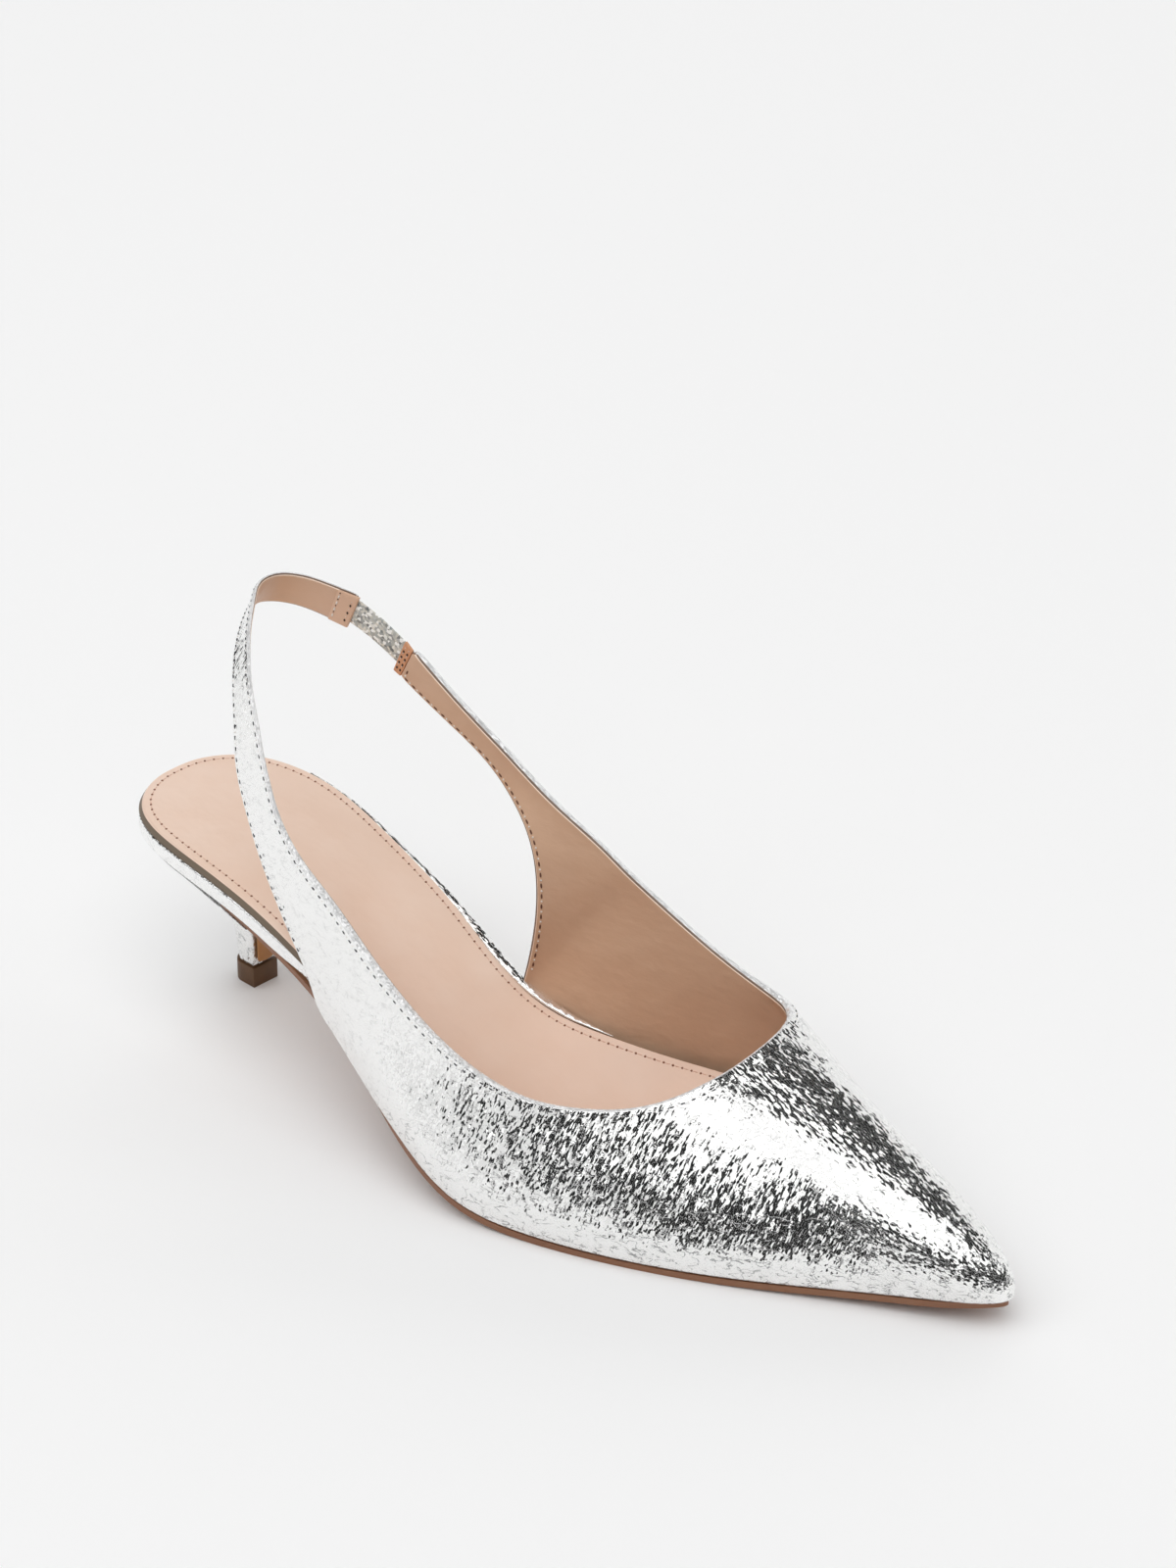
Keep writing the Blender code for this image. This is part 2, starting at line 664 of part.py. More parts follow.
# The bottom: outsole, wrapped insole board and the sock that lies on it.
slab(
    "outsole",
    turn_of(OUTSOLE_TAIL),
    END_TURN,
    outsole_proud,
    lambda x, across: bed(x),
    outsole_thickness,
    "sole_leather",
)
slab(
    "insole_board",
    END_TURN,
    BOARD_TOE_TURN,
    board_proud,
    lambda x, across: board_top(x),
    board_thickness,
    "silver_leather",
)
slab(
    "sock",
    END_TURN,
    SOCK_TOE_TURN,
    sock_proud,
    sock_top,
    lambda x: SOCK_THICKNESS,
    "blush_leather",
)

# The heel, the cover of its breast and the piece that it walks on.
heel_downs = [(i / HEEL_RINGS) ** HEEL_RING_CROWDING for i in range(HEEL_RINGS + 1)]
loft("heel", [heel_section(down) for down in heel_downs], "silver_leather")
sheet("heel_breast", BREAST_COLUMNS, BREAST_ROWS, breast_place, BREAST_COVER_THICKNESS, "breast_leather")
tip_outline = tip_ring(TIP_PROUD)
loft("top_piece", [[(x, y, z) for x, y in tip_outline] for z in (TIP_HEIGHT, 0.0)], "tip_rubber")

centre_on_floor()
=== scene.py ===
import math

import bmesh
import bpy
from mathutils import Matrix, Vector
from mathutils.bvhtree import BVHTree


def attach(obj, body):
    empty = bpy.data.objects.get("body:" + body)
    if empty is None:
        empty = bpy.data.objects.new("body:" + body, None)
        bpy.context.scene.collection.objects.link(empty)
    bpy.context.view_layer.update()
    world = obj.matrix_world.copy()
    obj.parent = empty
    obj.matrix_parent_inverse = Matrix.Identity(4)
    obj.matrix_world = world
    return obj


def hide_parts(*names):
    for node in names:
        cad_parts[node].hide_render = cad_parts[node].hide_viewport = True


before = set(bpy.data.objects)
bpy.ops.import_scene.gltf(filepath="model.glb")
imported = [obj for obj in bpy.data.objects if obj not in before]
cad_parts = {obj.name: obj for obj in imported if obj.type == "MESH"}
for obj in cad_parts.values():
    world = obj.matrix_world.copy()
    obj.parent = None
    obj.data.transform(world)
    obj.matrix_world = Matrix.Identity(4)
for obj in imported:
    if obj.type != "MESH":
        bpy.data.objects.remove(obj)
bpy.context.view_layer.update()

# Insole board: stiff fibre board under the whole foot, wrapped in the upper's silver foil leather.
# The wrapped edge shows as a soft rim round the seat and the waist.
# It is made first, because the upper is later pulled over the last and under this board.
MM = 0.001
RIM_ROUND = 0.9 * MM


def copied(node_name, piece_name):
    """New piece with a copy of a solid's mesh, its loose triangles merged back into a cage of quads."""
    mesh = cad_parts[node_name].data.copy()
    mesh.name = piece_name
    mesh.materials.clear()
    piece = bpy.data.objects.new(piece_name, mesh)
    bpy.context.scene.collection.objects.link(piece)
    bpy.ops.object.select_all(action="DESELECT")
    piece.select_set(True)
    bpy.context.view_layer.objects.active = piece
    bpy.ops.object.mode_set(mode="EDIT")
    bpy.ops.mesh.select_all(action="SELECT")
    bpy.ops.mesh.customdata_custom_splitnormals_clear()
    bpy.ops.mesh.remove_doubles(threshold=0.01 * MM)
    bpy.ops.mesh.tris_convert_to_quads(
        face_threshold=math.pi, shape_threshold=math.pi, topology_influence=2
    )
    bpy.ops.object.mode_set(mode="OBJECT")
    return piece


def finished(piece, kind, **settings):
    """Gives the piece a modifier with the settings named, and applies it."""
    modifier = piece.modifiers.new(kind.lower(), kind)
    for setting, value in settings.items():
        setattr(modifier, setting, value)
    bpy.context.view_layer.objects.active = piece
    bpy.ops.object.modifier_apply(modifier=modifier.name)


def rounded(piece, width, segments, corner=50, **settings):
    """Rounds the edges that turn by more than the corner given, in degrees."""
    finished(
        piece, "BEVEL", width=width, segments=segments, limit_method="ANGLE",
        angle_limit=math.radians(corner), **settings,
    )


def smoothed(piece, levels, sharp=math.pi):
    """Subdivides the cage, and shades it smooth but for edges sharper than the angle given."""
    finished(piece, "SUBSURF", levels=levels, render_levels=levels)
    bpy.ops.object.select_all(action="DESELECT")
    piece.select_set(True)
    bpy.context.view_layer.objects.active = piece
    bpy.ops.object.shade_smooth_by_angle(angle=sharp)


def linear(hex_colour):
    """sRGB hex colour as a linear colour with full alpha."""
    shares = [int(hex_colour[i:i + 2], 16) / 255 for i in (1, 3, 5)]
    return tuple(s / 12.92 if s <= 0.04045 else ((s + 0.055) / 1.055) ** 2.4 for s in shares) + (1.0,)


def add(material, kind, settings=None, **links):
    """Adds a node with its settings; links join its inputs, by name, to other nodes' outputs or values."""
    tree = material.node_tree
    node = tree.nodes.new(kind)
    for setting, value in (settings or {}).items():
        setattr(node, setting, value)
    for name, source in links.items():
        socket = node.inputs[int(name[1:])] if name[0] == "_" else node.inputs[name.replace("_", " ")]
        if isinstance(source, bpy.types.NodeSocket):
            tree.links.new(source, socket)
        else:
            socket.default_value = source
    return node


def new_material(name):
    """An empty material with its shader and output."""
    material = bpy.data.materials.new(name)
    material.use_nodes = True
    return material, material.node_tree.nodes["Principled BSDF"]


def silver_foil_leather(name, tilt, shine, pale):
    """Goat leather with a pressed silver foil, which breaks into fine long flakes that each tilt their own way.

    Every flake is a small mirror, so light and dark meet as a speckle of dashes and not as a soft edge.
    The real flakes are a third of a millimetre wide; they are drawn wider, so that they show.
    Between them the leather's own short wrinkles show as faint grey lines: painted shade in their creases.
    """
    flake_length = 1.45 * MM
    flake_width = 0.42 * MM
    across_vamp = (0.0, math.radians(-49), math.radians(86))
    along_vamp = (0.0, math.radians(13), math.radians(-3))
    wrinkle = 2.2 * MM
    patch = 2.6 * MM
    swell = 6.0 * MM
    material, shader = new_material(name)
    place = add(material, "ShaderNodeTexCoord").outputs["Object"]
    bent = add(material, "ShaderNodeTexNoise", Vector=place, Scale=0.5 / flake_width, Detail=1.0)
    wander = add(
        material, "ShaderNodeVectorMath", {"operation": "MULTIPLY_ADD"},
        _0=bent.outputs["Color"], _1=(0.45 * flake_width,) * 3, _2=place,
    )
    slender = flake_length / flake_width
    facets = []
    for turn in (across_vamp, along_vamp):
        turned = add(
            material, "ShaderNodeMapping", {"vector_type": "TEXTURE"}, Vector=wander.outputs["Vector"],
            Rotation=turn, Scale=(flake_length, flake_width, flake_width),
        )
        flakes = add(material, "ShaderNodeTexVoronoi", Vector=turned.outputs["Vector"], Scale=1.0)
        lean = add(
            material, "ShaderNodeVectorMath", {"operation": "MULTIPLY_ADD"},
            _0=flakes.outputs["Color"], _1=(2.0 * slender, 2.0, 2.0), _2=(-slender, -1.0, -1.0),
        )
        across = add(
            material, "ShaderNodeVectorMath", {"operation": "SUBTRACT"},
            _0=turned.outputs["Vector"], _1=flakes.outputs["Position"],
        )
        facets.append(add(
            material, "ShaderNodeVectorMath", {"operation": "DOT_PRODUCT"},
            _0=across.outputs["Vector"], _1=lean.outputs["Vector"],
        ))
    sides = add(material, "ShaderNodeSeparateXYZ", Vector=place)
    inner_share = add(
        material, "ShaderNodeMapRange", Value=sides.outputs["Y"],
        From_Min=0.0, From_Max=6.0 * MM, To_Min=0.0, To_Max=1.0,
    )
    facet = add(
        material, "ShaderNodeMix", {"data_type": "FLOAT"}, _0=inner_share.outputs["Result"],
        _2=facets[0].outputs["Value"], _3=facets[1].outputs["Value"],
    )
    flattened = add(
        material, "ShaderNodeMapping", Vector=place, Scale=(0.6 / wrinkle, 0.6 / wrinkle, 1.3 / wrinkle)
    )
    folds = add(
        material, "ShaderNodeTexNoise", Vector=flattened.outputs["Vector"], Scale=1.0, Detail=3.0, Distortion=0.5
    )
    from_fold = add(material, "ShaderNodeMath", {"operation": "SUBTRACT"}, _0=folds.outputs["Fac"], _1=0.5)
    nearness = add(material, "ShaderNodeMath", {"operation": "ABSOLUTE"}, _0=from_fold.outputs["Value"])
    line = add(
        material, "ShaderNodeMapRange", Value=nearness.outputs["Value"],
        From_Min=0.0, From_Max=0.028, To_Min=1.0, To_Max=0.0,
    )
    patches = add(material, "ShaderNodeTexNoise", Vector=place, Scale=1 / patch, Detail=1.0)
    broken = add(
        material, "ShaderNodeMapRange", Value=patches.outputs["Fac"],
        From_Min=0.42, From_Max=0.54, To_Min=0.0, To_Max=1.0,
    )
    pulled = add(
        material, "ShaderNodeMapRange", Value=sides.outputs["Z"],
        From_Min=9 * MM, From_Max=22 * MM, To_Min=0.95, To_Max=0.25,
    )
    dash = add(
        material, "ShaderNodeMath", {"operation": "MULTIPLY"},
        _0=line.outputs["Result"], _1=broken.outputs["Result"],
    )
    mark = add(
        material, "ShaderNodeMath", {"operation": "MULTIPLY"},
        _0=dash.outputs["Value"], _1=pulled.outputs["Result"],
    )
    swelling = add(material, "ShaderNodeTexNoise", Vector=place, Scale=1 / swell, Detail=2.0)
    soft = add(
        material, "ShaderNodeBump", Strength=1.0, Distance=0.05 * swell,
        Height=swelling.outputs["Fac"],
    )
    wrinkled = add(
        material, "ShaderNodeBump", {"invert": True}, Strength=0.6, Distance=0.06 * MM,
        Height=mark.outputs["Value"], Normal=soft.outputs["Normal"],
    )
    flaked = add(
        material, "ShaderNodeBump", Strength=1.0, Distance=tilt * flake_width,
        Height=facet.outputs["Result"], Normal=wrinkled.outputs["Normal"],
    )
    # Painted shade: the foil is greyed along the wrinkle creases, more so low on the upper.
    crease_shade = add(
        material, "ShaderNodeMix", {"data_type": "RGBA"}, _0=mark.outputs["Value"],
        _6=linear(pale), _7=linear("#858687"),
    )
    dulled = add(
        material, "ShaderNodeMapRange", Value=flakes.outputs["Distance"],
        From_Min=0.0, From_Max=0.9, To_Min=shine, To_Max=2 * shine,
    )
    material.node_tree.links.new(crease_shade.outputs["Result"], shader.inputs["Base Color"])
    material.node_tree.links.new(dulled.outputs["Result"], shader.inputs["Roughness"])
    material.node_tree.links.new(flaked.outputs["Normal"], shader.inputs["Normal"])
    shader.inputs["Metallic"].default_value = 1.0
    return material


silver = silver_foil_leather("silver_foil_leather", 0.18, 0.05, "#fbfbfa")

board = copied("insole_board", "insole_rim")
board.data.materials.append(silver)
rounded(board, RIM_ROUND, 3)
smoothed(board, 1)
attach(board, "root")
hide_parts("insole_board")

# Upper: vamp, quarters and sling cut in one from the silver leather, with a blush leather lining glued inside.
# The silver edge is folded over all along, and the lining is trimmed just under the fold.
# It is pulled over the last and glued under the insole board.
EDGE_ROLL = 0.55 * MM
CUT_EDGE = 0.25 * MM
GROOVE = 0.09 * MM
TRIM = 0.4 * MM
SEAM_FROM_EDGE = 0.8 * MM
INNER_WALL = Vector((0.0, 0.026, 0.045))
OUTER_WALL = Vector((-0.035, -0.034, 0.035))
TOPLINE = Vector((0.01, 0.032, 0.052))
STRAP_UNDER = Vector((-0.075, -0.026, 0.079))
QUARTER_REAR = Vector((-0.026, 0.022, 0.057))
PANEL_BEND = math.radians(50)


def select_panel(piece, near, facing, ends_at=1.0):
    """Selects the panel of faces round a place that face a way, up to its sharp edges and an X; edit mode."""
    edit = bmesh.from_edit_mesh(piece.data)
    edit.normal_update()
    bpy.ops.mesh.select_all(action="DESELECT")
    turned = [face for face in edit.faces if face.normal.dot(Vector(facing)) > 0.5]
    first = min(turned, key=lambda face: (face.calc_center_median() - near).length)
    first.select_set(True)
    edit.faces.active = first
    bmesh.update_edit_mesh(piece.data)
    bpy.ops.mesh.faces_select_linked_flat(sharpness=PANEL_BEND)
    for face in edit.faces:
        if face.calc_center_median().x > ends_at:
            face.select_set(False)
    bmesh.update_edit_mesh(piece.data)


def inset_selected(distance):
    """Insets the selected faces from their border; edit mode."""
    bpy.ops.mesh.inset(thickness=distance, use_boundary=True, use_even_offset=True)


def paint_selected(piece, slot):
    """Gives the selected faces a material slot; edit mode."""
    edit = bmesh.from_edit_mesh(piece.data)
    for face in edit.faces:
        if face.select:
            face.material_index = slot
    bmesh.update_edit_mesh(piece.data)


def blush_leather(name, colour, shade, sheen_width):
    """Thin dyed sheepskin, plated smooth: an even satin blush with faint brush marks and soft cloudy tone."""
    cloud = 14 * MM
    grain = 0.7 * MM
    material, shader = new_material(name)
    place = add(material, "ShaderNodeTexCoord").outputs["Object"]
    clouds = add(material, "ShaderNodeTexNoise", Vector=place, Scale=1 / cloud, Detail=3.0)
    tone = add(
        material, "ShaderNodeMix", {"data_type": "RGBA"}, _0=clouds.outputs["Fac"],
        _6=linear(shade), _7=linear(colour),
    )
    stretched = add(
        material, "ShaderNodeMapping", Vector=place, Scale=(0.25 / sheen_width, 1 / sheen_width, 1 / sheen_width)
    )
    brushed = add(material, "ShaderNodeTexNoise", Vector=stretched.outputs["Vector"], Scale=1.0, Detail=4.0)
    pores = add(material, "ShaderNodeTexVoronoi", Vector=place, Scale=1 / grain)
    swollen = add(material, "ShaderNodeBump", Strength=0.6, Distance=0.1 * cloud, Height=clouds.outputs["Fac"])
    soft = add(
        material, "ShaderNodeBump", Strength=0.6, Distance=0.3 * MM,
        Height=brushed.outputs["Fac"], Normal=swollen.outputs["Normal"],
    )
    grained = add(
        material, "ShaderNodeBump", Strength=0.25, Distance=0.05 * MM,
        Height=pores.outputs["Distance"], Normal=soft.outputs["Normal"],
    )
    gloss = add(
        material, "ShaderNodeMapRange", Value=brushed.outputs["Fac"],
        From_Min=0.3, From_Max=0.7, To_Min=0.3, To_Max=0.44,
    )
    material.node_tree.links.new(tone.outputs["Result"], shader.inputs["Base Color"])
    material.node_tree.links.new(gloss.outputs["Result"], shader.inputs["Roughness"])
    material.node_tree.links.new(grained.outputs["Normal"], shader.inputs["Normal"])
    return material


lining_leather = blush_leather("lining_leather", "#d6b295", "#cba386", 2.5 * MM)
# Painted highlight: the lining's cut edge is paler than the lining. Painted shade: a dark ring in the groove
# beside the fold.
cut_edge_highlight = blush_leather("lining_cut_edge_highlight", "#fbe6d4", "#f4d9c4", 1.0 * MM)
groove_shade = blush_leather("shaded_groove", "#8a7464", "#755f50", 1.0 * MM)
folded_silver = silver_foil_leather("folded_silver_leather", 0.4, 0.08, "#ffffff")
folded_silver.node_tree.nodes["Principled BSDF"].inputs["Metallic"].default_value = 0.35


def roll_edge(piece, near, facing):
    """Rolls the edge strip up into a rounded fold. On the lining's side it has a pale cut edge in painted
    highlight, then a ring of painted shade for the groove. Gives its points; edit mode.
    """
    select_panel(piece, near, facing)
    points = [vert.co.copy() for vert in bmesh.from_edit_mesh(piece.data).verts if vert.select]
    paint_selected(piece, 3)
    for ring, neighbour, slot in ((CUT_EDGE, 1, 5), (GROOVE, 5, 4)):
        inset_selected(ring)
        edit = bmesh.from_edit_mesh(piece.data)
        for face in edit.faces:
            beside = [other.material_index for edge in face.edges for other in edge.link_faces]
            if face.material_index == 3 and not face.select and neighbour in beside:
                face.material_index = slot
        bmesh.update_edit_mesh(piece.data)
    bpy.ops.transform.shrink_fatten(value=EDGE_ROLL)
    return points


def mark_seam(piece, distance, held=0.0):
    """Insets the selected panel and marks the new border as a seam, held by one more ring; edit mode."""
    inset_selected(distance)
    edit = bmesh.from_edit_mesh(piece.data)
    border = [edge.index for edge in edit.edges if sum(face.select for face in edge.link_faces) == 1]
    if held:
        inset_selected(held)
    edit = bmesh.from_edit_mesh(piece.data)
    edit.edges.ensure_lookup_table()
    for index in border:
        edit.edges[index].seam = True
    bmesh.update_edit_mesh(piece.data)


upper = copied("upper", "upper")
for leather in (silver, lining_leather, lining_leather, folded_silver, groove_shade, cut_edge_highlight):
    upper.data.materials.append(leather)
bpy.ops.object.mode_set(mode="EDIT")
select_panel(upper, INNER_WALL, (0, -1, 0))
paint_selected(upper, 1)
inset_selected(TRIM)
paint_selected(upper, 2)
mark_seam(upper, SEAM_FROM_EDGE - TRIM)
select_panel(upper, OUTER_WALL, (0, -1, 0))
mark_seam(upper, SEAM_FROM_EDGE)
top_edge = roll_edge(upper, TOPLINE, (0, 0, 1))
lower_edge = roll_edge(upper, STRAP_UNDER, (0, 0, -1)) + roll_edge(upper, QUARTER_REAR, (-1, 0, 0))
bpy.ops.object.mode_set(mode="OBJECT")
smoothed(upper, 2)
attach(upper, "root")
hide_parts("upper")

# Stitches of the upper: one row sewn through the silver and the lining, just inside the folded edge.
# Outside, the thread sinks into the foil; its shade and the needle holes are painted as dark grey dashes. Inside,
# it is brown with pale knots between.
STITCH_PITCH = 2.6 * MM
# Length, width and knot of a stitch, outside and on the lining.
OUTER_STITCH = (1.3 * MM, 0.38 * MM, 0.3 * MM)
LINING_STITCH = (1.5 * MM, 0.5 * MM, 0.55 * MM)
CLEAR_OF_BED = 7.0 * MM
QUARTER_END = -0.071


def waxed_thread(name, colour, shade):
    """Waxed polyester thread, twisted of three plies: matt, with fine slanting light and dark."""
    ply = 0.35 * MM
    material, shader = new_material(name)
    place = add(material, "ShaderNodeTexCoord").outputs["Object"]
    plies = add(material, "ShaderNodeTexNoise", Vector=place, Scale=1 / ply, Detail=1.0)
    tone = add(
        material, "ShaderNodeMix", {"data_type": "RGBA"}, _0=plies.outputs["Fac"],
        _6=linear(shade), _7=linear(colour),
    )
    twisted = add(
        material, "ShaderNodeBump", Strength=0.5, Distance=0.1 * MM, Height=plies.outputs["Fac"]
    )
    material.node_tree.links.new(tone.outputs["Result"], shader.inputs["Base Color"])
    material.node_tree.links.new(twisted.outputs["Normal"], shader.inputs["Normal"])
    shader.inputs["Roughness"].default_value = 0.7
    return material


def one_stitch(name, length, width, knot, threads):
    """One stitch along X and the knot after it; both lie nearly flat on a surface that faces up."""
    bpy.ops.object.select_all(action="DESELECT")
    bpy.ops.mesh.primitive_uv_sphere_add(segments=8, ring_count=5, radius=1.0)
    stitch = bpy.context.object
    stitch.name = name
    bpy.ops.object.mode_set(mode="EDIT")
    bpy.ops.transform.resize(value=(length / 2, width / 2, 0.35 * width))
    edit = bmesh.from_edit_mesh(stitch.data)
    for vert in edit.verts:
        vert.select_set(abs(vert.co.x) > 0.35 * length)
    edit.select_flush(True)
    bmesh.update_edit_mesh(stitch.data)
    bpy.ops.transform.translate(value=(0, 0, -0.3 * width))
    bpy.ops.mesh.select_all(action="DESELECT")
    bpy.ops.mesh.primitive_uv_sphere_add(segments=6, ring_count=4, radius=1.0)
    bpy.ops.transform.resize(value=(knot / 2, knot / 2, 0.35 * knot))
    bpy.ops.transform.translate(value=(STITCH_PITCH / 2, 0, 0))
    paint_selected(stitch, 1)
    bpy.ops.object.mode_set(mode="OBJECT")
    bpy.ops.object.shade_smooth()
    for thread in threads:
        stitch.data.materials.append(thread)
    return stitch


def seam_runs(piece, keep):
    """Runs of points and normals along the seam edges of a piece, in the order they are sewn."""
    source = bmesh.new()
    source.from_mesh(piece.data)
    joined = {}
    for edge in source.edges:
        if edge.seam and all(keep(vert.co) for vert in edge.verts):
            for vert in edge.verts:
                joined.setdefault(vert, []).append(edge.other_vert(vert))
    runs = []
    waiting = dict.fromkeys(sorted(joined, key=lambda vert: (len(joined[vert]) != 1, vert.index)))
    while waiting:
        vert = next(iter(waiting))
        run = []
        while vert is not None:
            waiting.pop(vert)
            run.append((vert.co.copy(), vert.normal.copy()))
            vert = next((other for other in joined[vert] if other in waiting), None)
        runs.append(run)
    source.free()
    return runs


def sewn(name, stitch, runs, pitch):
    """One piece with a copy of the stitch at each pitch along the runs; the stitch itself is used up."""
    row = bmesh.new()
    for run in runs:
        travelled = 0.0
        due = pitch / 2
        for (start, start_up), (end, end_up) in zip(run, run[1:]):
            step = (end - start).length
            while step > 0 and due <= travelled + step:
                share = (due - travelled) / step
                up = start_up.lerp(end_up, share).normalized()
                along = (end - start).normalized()
                across = up.cross(along).normalized()
                place = Matrix((along, across, along.cross(across))).transposed().to_4x4()
                place.translation = start.lerp(end, share)
                first = len(row.verts)
                row.from_mesh(stitch.data)
                row.verts.ensure_lookup_table()
                bmesh.ops.transform(row, matrix=place, verts=row.verts[first:])
                due += pitch
            travelled += step
    mesh = bpy.data.meshes.new(name)
    row.to_mesh(mesh)
    row.free()
    for thread in stitch.data.materials:
        mesh.materials.append(thread)
    piece = bpy.data.objects.new(name, mesh)
    bpy.context.scene.collection.objects.link(piece)
    bpy.data.objects.remove(stitch)
    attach(piece, "root")
    return piece


def above_bed(point):
    """True where the upper stands clear of the insole board."""
    return (board.closest_point_on_mesh(point)[1] - point).length > CLEAR_OF_BED


def on_lower_edge(point):
    """True where the upper's lower edge is nearer than the topline."""
    return min((point - spot).length for spot in lower_edge) < min((point - spot).length for spot in top_edge)


def on_inner_quarter(point):
    """True along the rear edge of the inner quarter, from its end down to the bed."""
    return point.y > 0 and point.x > QUARTER_END and above_bed(point) and on_lower_edge(point)


def inside(run):
    """True for a run on the lining, which looks into the shoe."""
    return sum(normal.y if point.y < 0 else -normal.y for point, normal in run) > 0


sunk_stitch_shade = waxed_thread("sunk_stitch_shade", "#4b4c50", "#26272a")
pale_thread = waxed_thread("pale_thread", "#f1ece6", "#d8cec4")
brown_thread = waxed_thread("brown_thread", "#7a5442", "#5b3b2d")
sewn(
    "outer_stitches", one_stitch("outer_stitch", *OUTER_STITCH, (sunk_stitch_shade, pale_thread)),
    [run for run in seam_runs(upper, above_bed) if not inside(run)], STITCH_PITCH,
)
sewn(
    "lining_stitches", one_stitch("lining_stitch", *LINING_STITCH, (brown_thread, pale_thread)),
    [run for run in seam_runs(upper, on_inner_quarter) if inside(run)], STITCH_PITCH,
)

# Tabs: a folded scrap of leather at the sling's end and a raw one at the inner quarter's end.
# They flare a little, and each is sewn across twice to hold the elastic.
TAB_THICKNESS = 0.85 * MM
TAB_ROUND = 0.2 * MM
TAB_STITCH = (1.3 * MM, 0.5 * MM, 0.4 * MM)
TAB_HOLE = (0.8 * MM, 0.6 * MM, 0.3 * MM)
SLING_TAB = (
    Vector((-0.0934, 0.0203, 0.0943)), Vector((-0.0871, 0.0206, 0.0941)),
    Vector((-0.0892, 0.0199, 0.1036)), Vector((-0.0824, 0.0205, 0.1038)),
)
QUARTER_TAB = (
    Vector((-0.0741, 0.0234, 0.0867)), Vector((-0.0717, 0.0234, 0.0859)),
    Vector((-0.0698, 0.0234, 0.0959)), Vector((-0.0674, 0.0234, 0.0942)),
)


def raw_leather(name, colour, shade):
    """Flesh side of the lining leather, dyed by the edge stain: a rough rust nap with darker pits."""
    nap = 0.6 * MM
    material, shader = new_material(name)
    place = add(material, "ShaderNodeTexCoord").outputs["Object"]
    naps = add(material, "ShaderNodeTexNoise", Vector=place, Scale=1 / nap, Detail=3.0)
    tone = add(
        material, "ShaderNodeMix", {"data_type": "RGBA"}, _0=naps.outputs["Fac"],
        _6=linear(shade), _7=linear(colour),
    )
    rough = add(material, "ShaderNodeBump", Strength=0.6, Distance=0.15 * MM, Height=naps.outputs["Fac"])
    material.node_tree.links.new(tone.outputs["Result"], shader.inputs["Base Color"])
    material.node_tree.links.new(rough.outputs["Normal"], shader.inputs["Normal"])
    shader.inputs["Roughness"].default_value = 0.8
    return material


def on_tab(corners, along, up):
    """Place on a tab: share along the strap, share of its height."""
    low = corners[0].lerp(corners[1], along)
    high = corners[2].lerp(corners[3], along)
    return low.lerp(high, up)


def sewn_tab(name, corners, leather):
    """One tab, with its inner face towards the foot."""
    bpy.ops.object.select_all(action="DESELECT")
    bpy.ops.mesh.primitive_grid_add(x_subdivisions=5, y_subdivisions=7, size=1.0)
    tab = bpy.context.object
    tab.name = name
    for vert in tab.data.vertices:
        vert.co = on_tab(corners, vert.co.x + 0.5, vert.co.y + 0.5)
    bpy.ops.object.mode_set(mode="EDIT")
    bpy.ops.mesh.select_all(action="SELECT")
    bpy.ops.mesh.extrude_region_shrink_fatten(TRANSFORM_OT_shrink_fatten={"value": TAB_THICKNESS})
    bpy.ops.mesh.select_all(action="SELECT")
    bpy.ops.mesh.normals_make_consistent(inside=False)
    bpy.ops.object.mode_set(mode="OBJECT")
    tab.data.materials.append(leather)
    rounded(tab, TAB_ROUND, 2)
    smoothed(tab, 1)
    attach(tab, "root")
    return tab


def tab_rows(corners, places):
    """Stitching runs up the tab's inner face, at shares of its length."""
    toward_foot = Vector((0.0, -1.0, 0.0))
    lift = toward_foot * (TAB_THICKNESS + 0.05 * MM)
    return [
        [(on_tab(corners, along, up) + lift, toward_foot) for up in (0.08, 0.36, 0.64, 0.92)] for along in places
    ]


tab_leather = blush_leather("tab_leather", "#dcb79c", "#d0a688", 1.5 * MM)
rust_leather = raw_leather("raw_rust_leather", "#dca682", "#c98a62")
sewn_tab("sling_tab", SLING_TAB, tab_leather)
sewn_tab("quarter_tab", QUARTER_TAB, rust_leather)
# Painted shade: the tabs' needle holes are dark dots and knots of this colour.
tab_hole_shade = waxed_thread("tab_hole_shade", "#4a3327", "#33221a")
sewn(
    "sling_tab_stitches", one_stitch("tab_stitch", *TAB_STITCH, (pale_thread, tab_hole_shade)),
    tab_rows(SLING_TAB, (0.18,)), 2.2 * MM,
)
sewn(
    "sling_tab_holes", one_stitch("tab_hole", *TAB_HOLE, (tab_hole_shade, pale_thread)),
    tab_rows(SLING_TAB, (0.8,)), 2.6 * MM,
)
sewn(
    "quarter_tab_holes", one_stitch("tab_hole", *TAB_HOLE, (tab_hole_shade, pale_thread)),
    tab_rows(QUARTER_TAB, (0.3, 0.75)), 1.9 * MM,
)

# Elastic: short band of glitter knit, sewn under the tabs between the sling's end and the inner quarter.
# It lets the sling stretch over the heel.
KNIT_STITCH = 0.7 * MM
TUCKED_UNDER = 1.12
DRAWN_NARROW = 0.88


